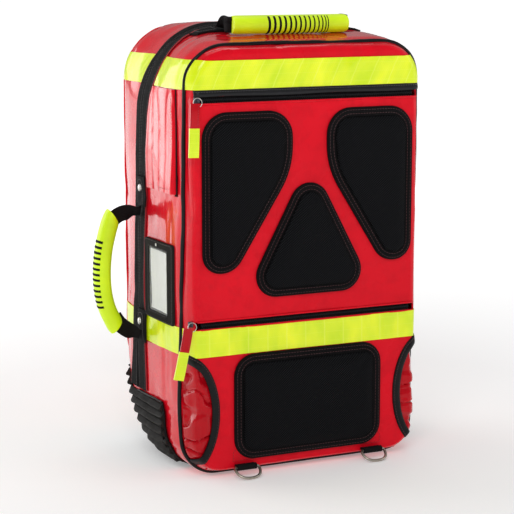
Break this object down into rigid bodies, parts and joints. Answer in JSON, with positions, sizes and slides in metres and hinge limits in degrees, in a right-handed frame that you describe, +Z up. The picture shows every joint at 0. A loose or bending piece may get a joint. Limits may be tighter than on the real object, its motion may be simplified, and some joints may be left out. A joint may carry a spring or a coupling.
{
  "type": "trauma backpack",
  "caption": "Clamshell emergency backpack in coated fabric with reflective bands, mesh back pads, stowed harness, rubber boot and carry handles.",
  "frame": {"origin": "on the floor, on the flat base below the middle of the back half", "axes": "+Z up, -Y out of the padded harness side, +Y out of the lid, +X to the side opposite the side handle"},
  "size_m": [0.453, 0.2687, 0.6255],
  "materials": {
    "red_tarpaulin": "glossy coated",
    "neon_reflective": "glossy reflective",
    "black_mesh": "spacer mesh",
    "black_binding": "satin",
    "black_webbing": "woven matte",
    "zip_coil": "satin",
    "boot_rubber": "matte ribbed",
    "window_frame": "matte",
    "card_paper": "plain white",
    "clear_film": "clear flexible",
    "neon_grip": "satin moulded",
    "nickel_steel": "satin",
    "stiffener_plastic": "plain"
  },
  "bodies": {
    "bag": {"back_shell": "red_tarpaulin", "top_panel": "red_tarpaulin", "harness_panel": "red_tarpaulin", "lumbar_panel": "red_tarpaulin", "hip_slot_gusset_left": "red_tarpaulin", "hip_slot_gusset_right": "red_tarpaulin", "upper_band_back": "neon_reflective", "lower_band_back": "neon_reflective", "shoulder_pad_left": "black_mesh", "shoulder_pad_right": "black_mesh", "spine_pad": "black_mesh", "lumbar_pad": "black_mesh", "shoulder_strap_left": "black_mesh", "shoulder_strap_right": "black_mesh", "hip_belt": "black_mesh", "divider_lower": "black_mesh", "divider_upper": "black_mesh", "front_piping": "black_binding", "hip_slot_binding_left": "black_binding", "hip_slot_binding_right": "black_binding", "upper_zip_flap": "black_binding", "main_zip_back": "black_webbing", "top_handle_anchor_left": "black_webbing", "top_handle_anchor_right": "black_webbing", "side_handle_anchor_upper": "black_webbing", "side_handle_anchor_lower": "black_webbing", "d_ring_loop_left": "black_webbing", "d_ring_loop_right": "black_webbing", "upper_zip": "zip_coil", "lower_zip": "zip_coil", "base_boot_back": "boot_rubber", "id_window_frame": "window_frame", "id_window_card": "card_paper", "id_window_film": "clear_film", "side_handle_rivet_upper": "nickel_steel", "side_handle_rivet_lower": "nickel_steel", "back_stiffener": "stiffener_plastic"},
    "lid": {"lid_shell": "red_tarpaulin", "lid_piping": "red_tarpaulin", "lid_mesh_pocket": "black_mesh", "upper_band_lid": "neon_reflective", "lower_band_lid": "neon_reflective", "main_zip_lid": "black_webbing", "base_boot_lid": "boot_rubber"},
    "top_handle": {"top_handle_webbing": "black_webbing", "top_handle_grip": "neon_grip"},
    "side_handle": {"side_handle_webbing": "black_webbing", "side_handle_grip": "neon_grip"},
    "d_ring_left": {"d_ring_left": "nickel_steel"},
    "d_ring_right": {"d_ring_right": "nickel_steel"},
    "upper_zip_slider": {"upper_zip_slider": "nickel_steel"},
    "upper_zip_pull": {"upper_zip_pull": "red_tarpaulin", "upper_zip_pull_tip": "neon_reflective"},
    "lower_zip_slider": {"lower_zip_slider": "nickel_steel"},
    "lower_zip_pull": {"lower_zip_pull": "red_tarpaulin", "lower_zip_pull_tip": "neon_reflective"},
    "main_zip_slider_lower": {"main_zip_slider_lower": "nickel_steel"},
    "main_zip_slider_upper": {"main_zip_slider_upper": "nickel_steel"},
    "side_flap": {"side_flap": "red_tarpaulin"}
  },
  "joints": [
    {"name": "lid_hinge", "type": "hinge", "parent": "bag", "child": "lid", "pos_m": [0, 0.0556, 0.0125], "axis": [-1, 0, 0], "range_deg": [0, 165]},
    {"name": "top_handle_hinge", "type": "hinge", "parent": "bag", "child": "top_handle", "pos_m": [0, -0.015, 0.6145], "axis": [-1, 0, 0], "range_deg": [0, 150]},
    {"name": "side_handle_hinge", "type": "hinge", "parent": "bag", "child": "side_handle", "pos_m": [-0.1905, 0.032, 0.263], "axis": [0, 0, 1], "range_deg": [-40, 40]},
    {"name": "d_ring_left_hinge", "type": "hinge", "parent": "bag", "child": "d_ring_left", "pos_m": [-0.098, -0.1232, 0.014], "axis": [-1, 0, 0], "range_deg": [0, 80]},
    {"name": "d_ring_right_hinge", "type": "hinge", "parent": "bag", "child": "d_ring_right", "pos_m": [0.098, -0.1232, 0.014], "axis": [-1, 0, 0], "range_deg": [0, 80]},
    {"name": "upper_zip_slide", "type": "slide", "parent": "bag", "child": "upper_zip_slider", "axis": [1, 0, 0], "range_m": [0, 0.31]},
    {"name": "upper_zip_pull_hinge", "type": "hinge", "parent": "upper_zip_slider", "child": "upper_zip_pull", "pos_m": [-0.168, -0.1252, 0.5135], "axis": [-1, 0, 0], "range_deg": [0, 120]},
    {"name": "lower_zip_slide", "type": "slide", "parent": "bag", "child": "lower_zip_slider", "axis": [1, 0, 0], "range_m": [0, 0.31]},
    {"name": "lower_zip_pull_hinge", "type": "hinge", "parent": "lower_zip_slider", "child": "lower_zip_pull", "pos_m": [-0.168, -0.1252, 0.211], "axis": [-1, 0, 0], "range_deg": [0, 120]},
    {"name": "main_zip_lower_slide", "type": "slide", "parent": "bag", "child": "main_zip_slider_lower", "axis": [0, 0, -1], "range_m": [0, 0.14]},
    {"name": "main_zip_upper_slide", "type": "slide", "parent": "bag", "child": "main_zip_slider_upper", "axis": [0, 0, 1], "range_m": [0, 0.11]},
    {"name": "side_flap_hinge", "type": "hinge", "parent": "bag", "child": "side_flap", "pos_m": [-0.1872, 0.0135, 0.459], "axis": [0, 0, -1], "range_deg": [0, 150]}
  ]
}
